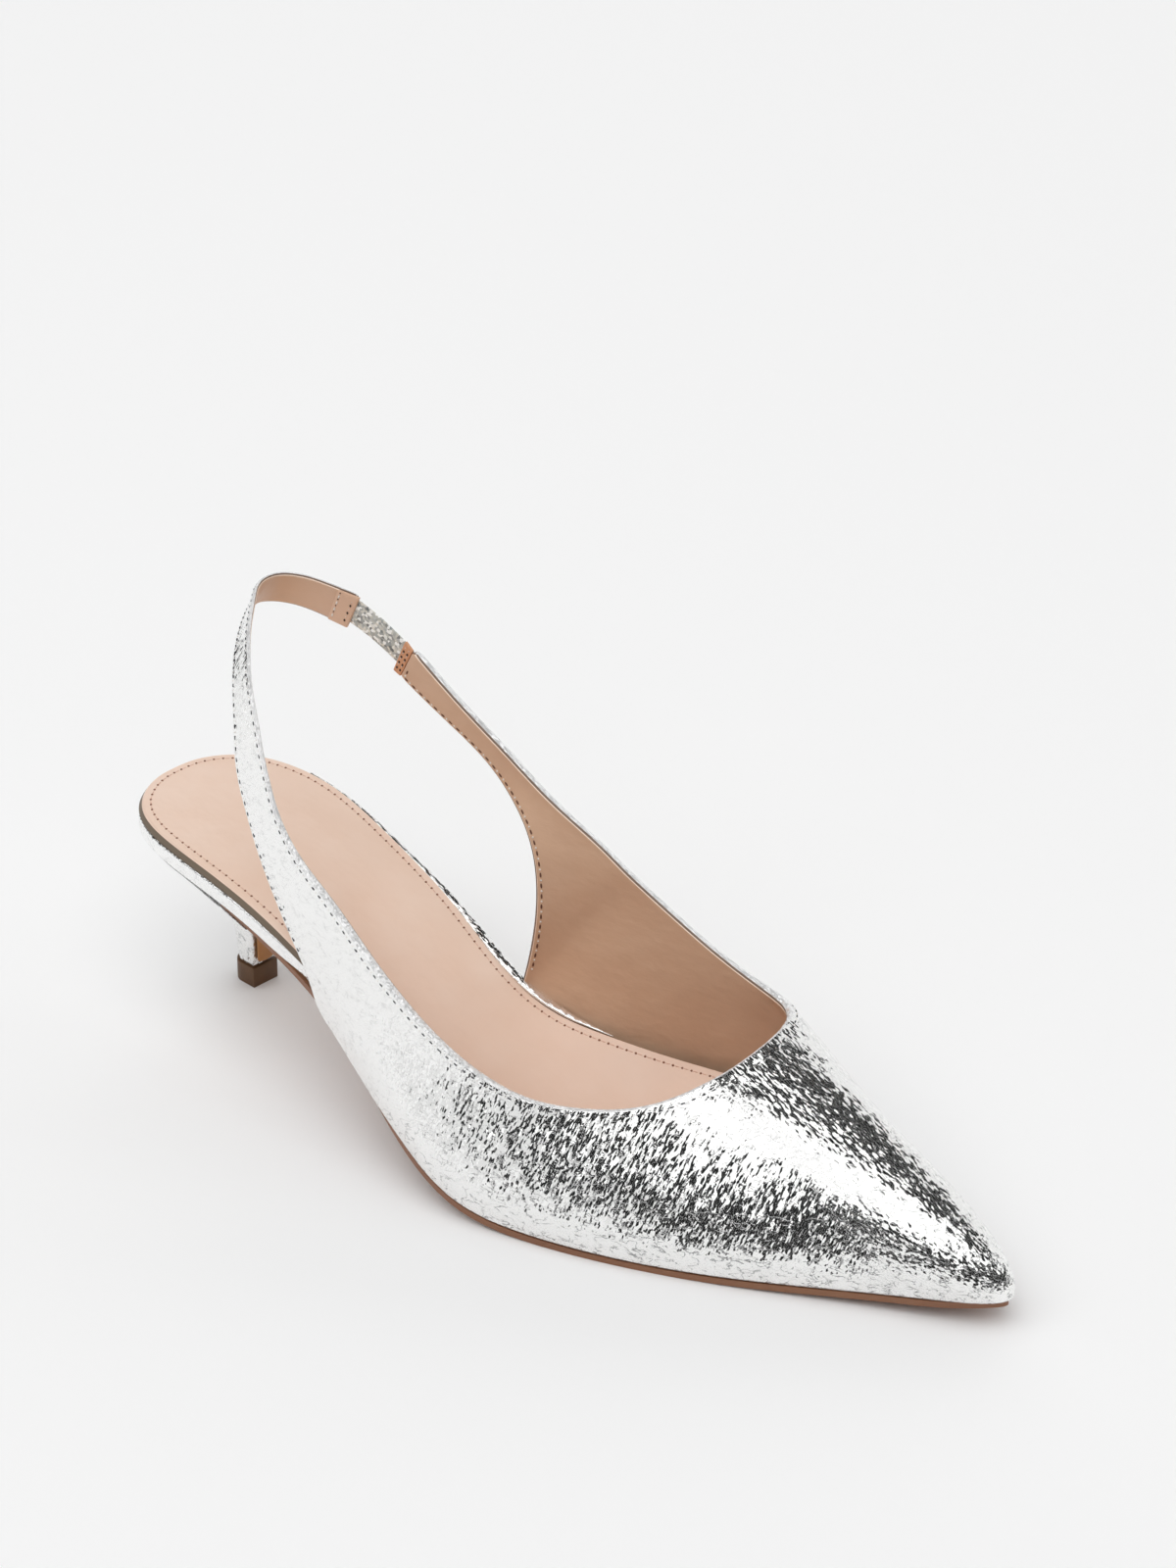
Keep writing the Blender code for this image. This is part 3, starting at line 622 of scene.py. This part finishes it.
def glitter_knit():
    """Knitted elastic with metal-coated yarn: tiny stitches, each dull, sandy or dark, and some near white with a
    painted glint.

    The real stitches are finer; they are drawn at 0.7 mm, so that they show.
    """
    material, shader = new_material("glitter_knit")
    place = add(material, "ShaderNodeTexCoord").outputs["Object"]
    stitches = add(material, "ShaderNodeTexVoronoi", Vector=place, Scale=1 / KNIT_STITCH)
    sparkle = add(material, "ShaderNodeSeparateColor", Color=stitches.outputs["Color"])
    dull = add(
        material, "ShaderNodeMix", {"data_type": "RGBA"}, _0=sparkle.outputs["Green"],
        _6=linear("#959b9b"), _7=linear("#e2ddd0"),
    )
    bright = add(
        material, "ShaderNodeMapRange", Value=sparkle.outputs["Red"],
        From_Min=0.62, From_Max=0.8, To_Min=0.0, To_Max=1.0,
    )
    # Painted glints: some stitches are mixed towards near white.
    tone = add(
        material, "ShaderNodeMix", {"data_type": "RGBA"}, _0=bright.outputs["Result"],
        _6=dull.outputs["Result"], _7=linear("#fafaf7"),
    )
    shaded = add(
        material, "ShaderNodeMapRange", Value=sparkle.outputs["Blue"],
        From_Min=0.08, From_Max=0.25, To_Min=0.3, To_Max=1.0,
    )
    yarn = add(
        material, "ShaderNodeMix", {"data_type": "RGBA", "blend_type": "MULTIPLY"}, _0=1.0,
        _6=tone.outputs["Result"], _7=shaded.outputs["Result"],
    )
    knit = add(
        material, "ShaderNodeBump", {"invert": True}, Strength=0.4, Distance=0.12 * MM,
        Height=stitches.outputs["Distance"],
    )
    material.node_tree.links.new(yarn.outputs["Result"], shader.inputs["Base Color"])
    material.node_tree.links.new(knit.outputs["Normal"], shader.inputs["Normal"])
    shader.inputs["Metallic"].default_value = 0.15
    shader.inputs["Roughness"].default_value = 0.35
    return material


elastic = copied("elastic", "elastic")
elastic.data.materials.append(glitter_knit())
smoothed(elastic, 3)
middle = sum((vert.co for vert in elastic.data.vertices), Vector()) / len(elastic.data.vertices)
stretch = (QUARTER_TAB[0] + QUARTER_TAB[2] - SLING_TAB[1] - SLING_TAB[3]).normalized()
height = Vector((0.0, -1.0, 0.0)).cross(stretch).normalized()
for vert in elastic.data.vertices:
    from_middle = vert.co - middle
    vert.co += stretch * from_middle.dot(stretch) * (TUCKED_UNDER - 1)
    vert.co += height * from_middle.dot(height) * (DRAWN_NARROW - 1)
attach(elastic, "root")
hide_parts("elastic")

# Outsole: thin brown leather-board sole with a burnished edge, glued over the lasted upper.
# Towards the heel it is pared down to a thin tail.
SOLE_EDGE_ROUND = 0.8 * MM


def sole_leather(name, colour, shade, gloss):
    """Waxed and burnished sole leather: a warm brown with long cloudy streaks and a low polish."""
    streak = 9 * MM
    material, shader = new_material(name)
    place = add(material, "ShaderNodeTexCoord").outputs["Object"]
    drawn = add(material, "ShaderNodeMapping", Vector=place, Scale=(0.3 / streak, 1 / streak, 1.6 / streak))
    streaks = add(material, "ShaderNodeTexNoise", Vector=drawn.outputs["Vector"], Scale=1.0, Detail=5.0)
    tone = add(
        material, "ShaderNodeMix", {"data_type": "RGBA"}, _0=streaks.outputs["Fac"],
        _6=linear(shade), _7=linear(colour),
    )
    fibres = add(material, "ShaderNodeTexNoise", Vector=place, Scale=1 / (0.6 * MM), Detail=3.0)
    rough = add(
        material, "ShaderNodeBump", Strength=0.3, Distance=0.06 * MM, Height=fibres.outputs["Fac"]
    )
    material.node_tree.links.new(tone.outputs["Result"], shader.inputs["Base Color"])
    material.node_tree.links.new(rough.outputs["Normal"], shader.inputs["Normal"])
    shader.inputs["Roughness"].default_value = gloss
    return material


outsole = copied("outsole", "outsole")
outsole.data.materials.append(sole_leather("burnished_sole_leather", "#966849", "#7e523a", 0.42))
rounded(outsole, SOLE_EDGE_ROUND, 2)
smoothed(outsole, 1, math.radians(60))
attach(outsole, "root")
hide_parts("outsole")

# Heel: moulded kitten heel covered with the silver leather, screwed on under the seat.
# The leather is pulled round the sides and glued down at the breast.
HEEL_EDGE_ROUND = 0.5 * MM

heel = copied("heel", "heel")
heel.data.materials.append(silver)
rounded(heel, HEEL_EDGE_ROUND, 2)
smoothed(heel, 1)
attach(heel, "root")
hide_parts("heel")

# Heel breast: a thin flap of tan leather that covers the front of the heel.
# It is skived at its border and glued on after the heel's own cover.
breast = copied("heel_breast", "heel_breast")
breast.data.materials.append(sole_leather("breast_leather", "#c48a52", "#a8713e", 0.5))
smoothed(breast, 2)
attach(breast, "root")
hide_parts("heel_breast")

# Top piece: the lift that the heel walks on, moulded of hard brown rubber and nailed under the heel.
# Its edges are buffed round.
TIP_EDGE_ROUND = 0.6 * MM
TIP_CORNER = 40


def moulded_rubber():
    """Hard rubber, moulded: matt dark brown with a fine pitted skin."""
    pit = 0.5 * MM
    material, shader = new_material("moulded_rubber")
    place = add(material, "ShaderNodeTexCoord").outputs["Object"]
    cloud = add(material, "ShaderNodeTexNoise", Vector=place, Scale=1 / (3 * MM), Detail=3.0)
    tone = add(
        material, "ShaderNodeMix", {"data_type": "RGBA"}, _0=cloud.outputs["Fac"],
        _6=linear("#4e3216"), _7=linear("#69451f"),
    )
    pits = add(material, "ShaderNodeTexNoise", Vector=place, Scale=1 / pit, Detail=2.0)
    pitted = add(
        material, "ShaderNodeBump", Strength=0.35, Distance=0.06 * MM, Height=pits.outputs["Fac"]
    )
    material.node_tree.links.new(tone.outputs["Result"], shader.inputs["Base Color"])
    material.node_tree.links.new(pitted.outputs["Normal"], shader.inputs["Normal"])
    shader.inputs["Roughness"].default_value = 0.45
    return material


tip = copied("top_piece", "top_piece")
tip.data.materials.append(moulded_rubber())
rounded(tip, TIP_EDGE_ROUND, 3, TIP_CORNER)
bpy.ops.object.shade_smooth_by_angle(angle=math.radians(TIP_CORNER))
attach(tip, "root")
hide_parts("top_piece")

# Sock: blush leather on thin foam, glued on the insole board, with a row of stitches round its border.
# Its raw edge, made of the faces that turn away from up, is drawn a darker taupe.
SOCK_EDGE_ROUND = 0.3 * MM
SOCK_SEAM = 1.9 * MM
SOCK_PITCH = 2.3 * MM
SOCK_STITCH = (1.5 * MM, 0.3 * MM, 0.65 * MM)
SOCK_FLARE = 1.2 * MM
SEAT_ENDS = -0.05
SOCK_MIDDLE = Vector((-0.06, 0.0, 0.045))
VAMP_HIDES_FROM = 0.07
SEAM_RUNS_ON = 0.02
TAUPE_BELOW = 0.3

sock = copied("sock", "sock")
for finish in (
    sole_leather("taupe_edge", "#7c6e5e", "#6a5c4d", 0.6),
    blush_leather("sock_leather", "#f3d9c7", "#edccb6", 5 * MM),
):
    sock.data.materials.append(finish)
bpy.ops.object.mode_set(mode="EDIT")
select_panel(sock, SOCK_MIDDLE, (0, 0, 1))
paint_selected(sock, 1)
select_panel(sock, SOCK_MIDDLE, (0, 0, 1), VAMP_HIDES_FROM + SEAM_RUNS_ON)
mark_seam(sock, SOCK_SEAM, SOCK_SEAM)
select_panel(sock, SOCK_MIDDLE, (0, 0, -1))
edit = bmesh.from_edit_mesh(sock.data)
for vert in edit.verts:
    on_border = vert.select and not all(face.select for face in vert.link_faces)
    if on_border and vert.co.x < SEAT_ENDS:
        vert.co += Vector((vert.normal.x, vert.normal.y, 0.0)).normalized() * SOCK_FLARE
bmesh.update_edit_mesh(sock.data)
bpy.ops.object.mode_set(mode="OBJECT")
rounded(sock, SOCK_EDGE_ROUND, 2, material=1)
for face in sock.data.polygons:
    if face.normal.z < TAUPE_BELOW:
        face.material_index = 0
smoothed(sock, 2)
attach(sock, "root")
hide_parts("sock")

hole_shade = waxed_thread("needle_hole", "#9a6a50", "#7d523c")
blush_thread = waxed_thread("blush_thread", "#e8c5b2", "#d9ae99")
sewn(
    "sock_stitches", one_stitch("sock_stitch", *SOCK_STITCH, (blush_thread, hole_shade)),
    seam_runs(sock, lambda point: point.x < VAMP_HIDES_FROM), SOCK_PITCH,
)

# Rim strip: narrow folded strip of the silver leather, glued in beside the sock along the inner side.
# It fills the step between the sock's edge and the wrapped board, and dies away along the lining's foot.
STRIP_WIDTH = 2.0 * MM
STRIP_FLATNESS = 0.45
STRIP_STEPS = 4
SCAN = 0.4 * MM
SCAN_LEVELS = 130
FAR_OUT = 0.2
# Each row: place along the shoe, out from the sock's edge and up from its top, all in mm, and fullness.
STRIP_FIT = (
    (-104, 0.6, -0.6, 0.5),
    (-66, 0.65, -0.6, 0.75),
    (-43, 1.25, -0.55, 1.25),
    (-28, 1.2, 0.15, 1.45),
    (-12, 1.1, 0.5, 1.3),
    (2, 1.1, -0.3, 0.2),
)
sock_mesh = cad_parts["sock"].data
sock_form = BVHTree.FromPolygons(
    [vert.co for vert in sock_mesh.vertices], [face.vertices for face in sock_mesh.polygons]
)


def beside_sock(along, out, up):
    """Place beside the top of the sock's inner edge."""
    hits = [
        sock_form.ray_cast(Vector((along, FAR_OUT, level * SCAN)), Vector((0, -1, 0)))[0]
        for level in range(SCAN_LEVELS)
    ]
    edge = max(hit.y for hit in hits if hit)
    top = sock_form.ray_cast(Vector((along, edge - SCAN, FAR_OUT)), Vector((0, 0, -1)))[0].z
    return Vector((along, edge + out, top + up))


strip_places = [
    [here + (ahead - here) * step / STRIP_STEPS for here, ahead in zip(start, end)]
    for start, end in zip(STRIP_FIT, STRIP_FIT[1:]) for step in range(STRIP_STEPS)
] + [STRIP_FIT[-1]]

bpy.ops.object.select_all(action="DESELECT")
bpy.ops.curve.primitive_bezier_circle_add(radius=STRIP_WIDTH / 2)
profile = bpy.context.object
bpy.ops.transform.resize(value=(1.0, STRIP_FLATNESS, 1.0))
bpy.ops.object.transform_apply(location=False, rotation=False, scale=True)
path = bpy.data.curves.new("rim_strip", "CURVE")
path.dimensions = "3D"
path.twist_mode = "Z_UP"
path.bevel_mode = "OBJECT"
path.bevel_object = profile
path.resolution_u = 6
path.use_fill_caps = True
stroke = path.splines.new("NURBS")
stroke.points.add(len(strip_places) - 1)
stroke.order_u = 4
stroke.use_endpoint_u = True
for point, (along, out, up, fullness) in zip(stroke.points, strip_places):
    point.co = (*beside_sock(along * MM, out * MM, up * MM), 1.0)
    point.radius = fullness
rim_strip = bpy.data.objects.new("rim_strip", path)
bpy.context.scene.collection.objects.link(rim_strip)
bpy.ops.object.select_all(action="DESELECT")
rim_strip.select_set(True)
bpy.context.view_layer.objects.active = rim_strip
bpy.ops.object.convert(target="MESH")
bpy.ops.object.shade_smooth()
bpy.data.objects.remove(profile)
rim_strip.data.materials.append(silver)
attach(rim_strip, "root")

# Studio: a pale floor, a large soft box overhead on the outer side, white screens that the silver mirrors at the
# inner side, the toe and the outer side towards the heel, and a ceiling and four walls that only fill the shadows.
FLOOR_SIZE = 14.0

bpy.ops.mesh.primitive_plane_add(size=FLOOR_SIZE)
floor = bpy.context.object
floor.name = "floor"
paper, paper_shader = new_material("pale_paper")
paper_shader.inputs["Base Color"].default_value = linear("#fcfcfc")
paper_shader.inputs["Roughness"].default_value = 0.95
paper_shader.inputs["Specular IOR Level"].default_value = 0.0
floor.data.materials.append(paper)


def toward(azimuth, elevation):
    """Unit vector from the shoe: azimuth from the toe towards the inner side, elevation above the floor."""
    turn = math.radians(azimuth)
    rise = math.radians(elevation)
    return Vector((math.cos(rise) * math.cos(turn), math.cos(rise) * math.sin(turn), math.sin(rise)))


def soft_box(name, azimuth, elevation, distance, width, height, radiance):
    """Area light that faces the shoe, with the brightness of its face given."""
    lamp = bpy.data.lights.new(name, "AREA")
    lamp.shape = "RECTANGLE"
    lamp.size = width
    lamp.size_y = height
    lamp.energy = radiance * math.pi * width * height
    box = bpy.data.objects.new(name, lamp)
    bpy.context.scene.collection.objects.link(box)
    box.location = toward(azimuth, elevation) * distance
    box.rotation_euler = (-box.location).to_track_quat("-Z", "Y").to_euler()
    box.visible_camera = False
    return box


soft_box("overhead_box", -85, 71, 2.2, 3.4, 2.9, 1.15)
soft_box("inner_screen", 112, 17, 2.4, 6.0, 2.0, 0.85)
toe_screen = soft_box("toe_screen", 50, 36, 2.2, 1.1, 0.7, 0.9)
toe_screen.visible_diffuse = False
heel_screen = soft_box("heel_screen", 229, 11, 2.4, 4.5, 1.3, 0.76)
heel_screen.visible_diffuse = False
ceiling = soft_box("ceiling", 0, 90, 5.0, 11.0, 11.0, 0.37)
ceiling.visible_glossy = False
for corner in (-135, -45, 45, 135):
    wall = soft_box("white_wall", corner, 25, 4.0, 5.0, 3.0, 0.5)
    wall.visible_glossy = False

world = bpy.data.worlds.new("dark_studio")
bpy.context.scene.world = world
world.use_nodes = True
world.node_tree.nodes["Background"].inputs["Color"].default_value = (1, 1, 1, 1)
world.node_tree.nodes["Background"].inputs["Strength"].default_value = 0.02
bpy.context.scene.view_settings.view_transform = "Standard"

# Camera: at the photograph's angle, 45 degrees round from the outer side and 30 degrees down.
# A long lens keeps the shoe's proportions.
CAMERA_AT = Vector((0.8203, -0.8065, 0.7591))
CAMERA_LOOKS = Vector((-math.cos(math.radians(30)), math.cos(math.radians(30)), -math.sqrt(2) / 2))

camera = bpy.data.objects.new("camera", bpy.data.cameras.new("camera"))
camera.data.lens = 135
camera.data.clip_end = 50
camera.location = CAMERA_AT
camera.rotation_euler = CAMERA_LOOKS.to_track_quat("-Z", "Y").to_euler()
bpy.context.scene.collection.objects.link(camera)
bpy.context.scene.camera = camera
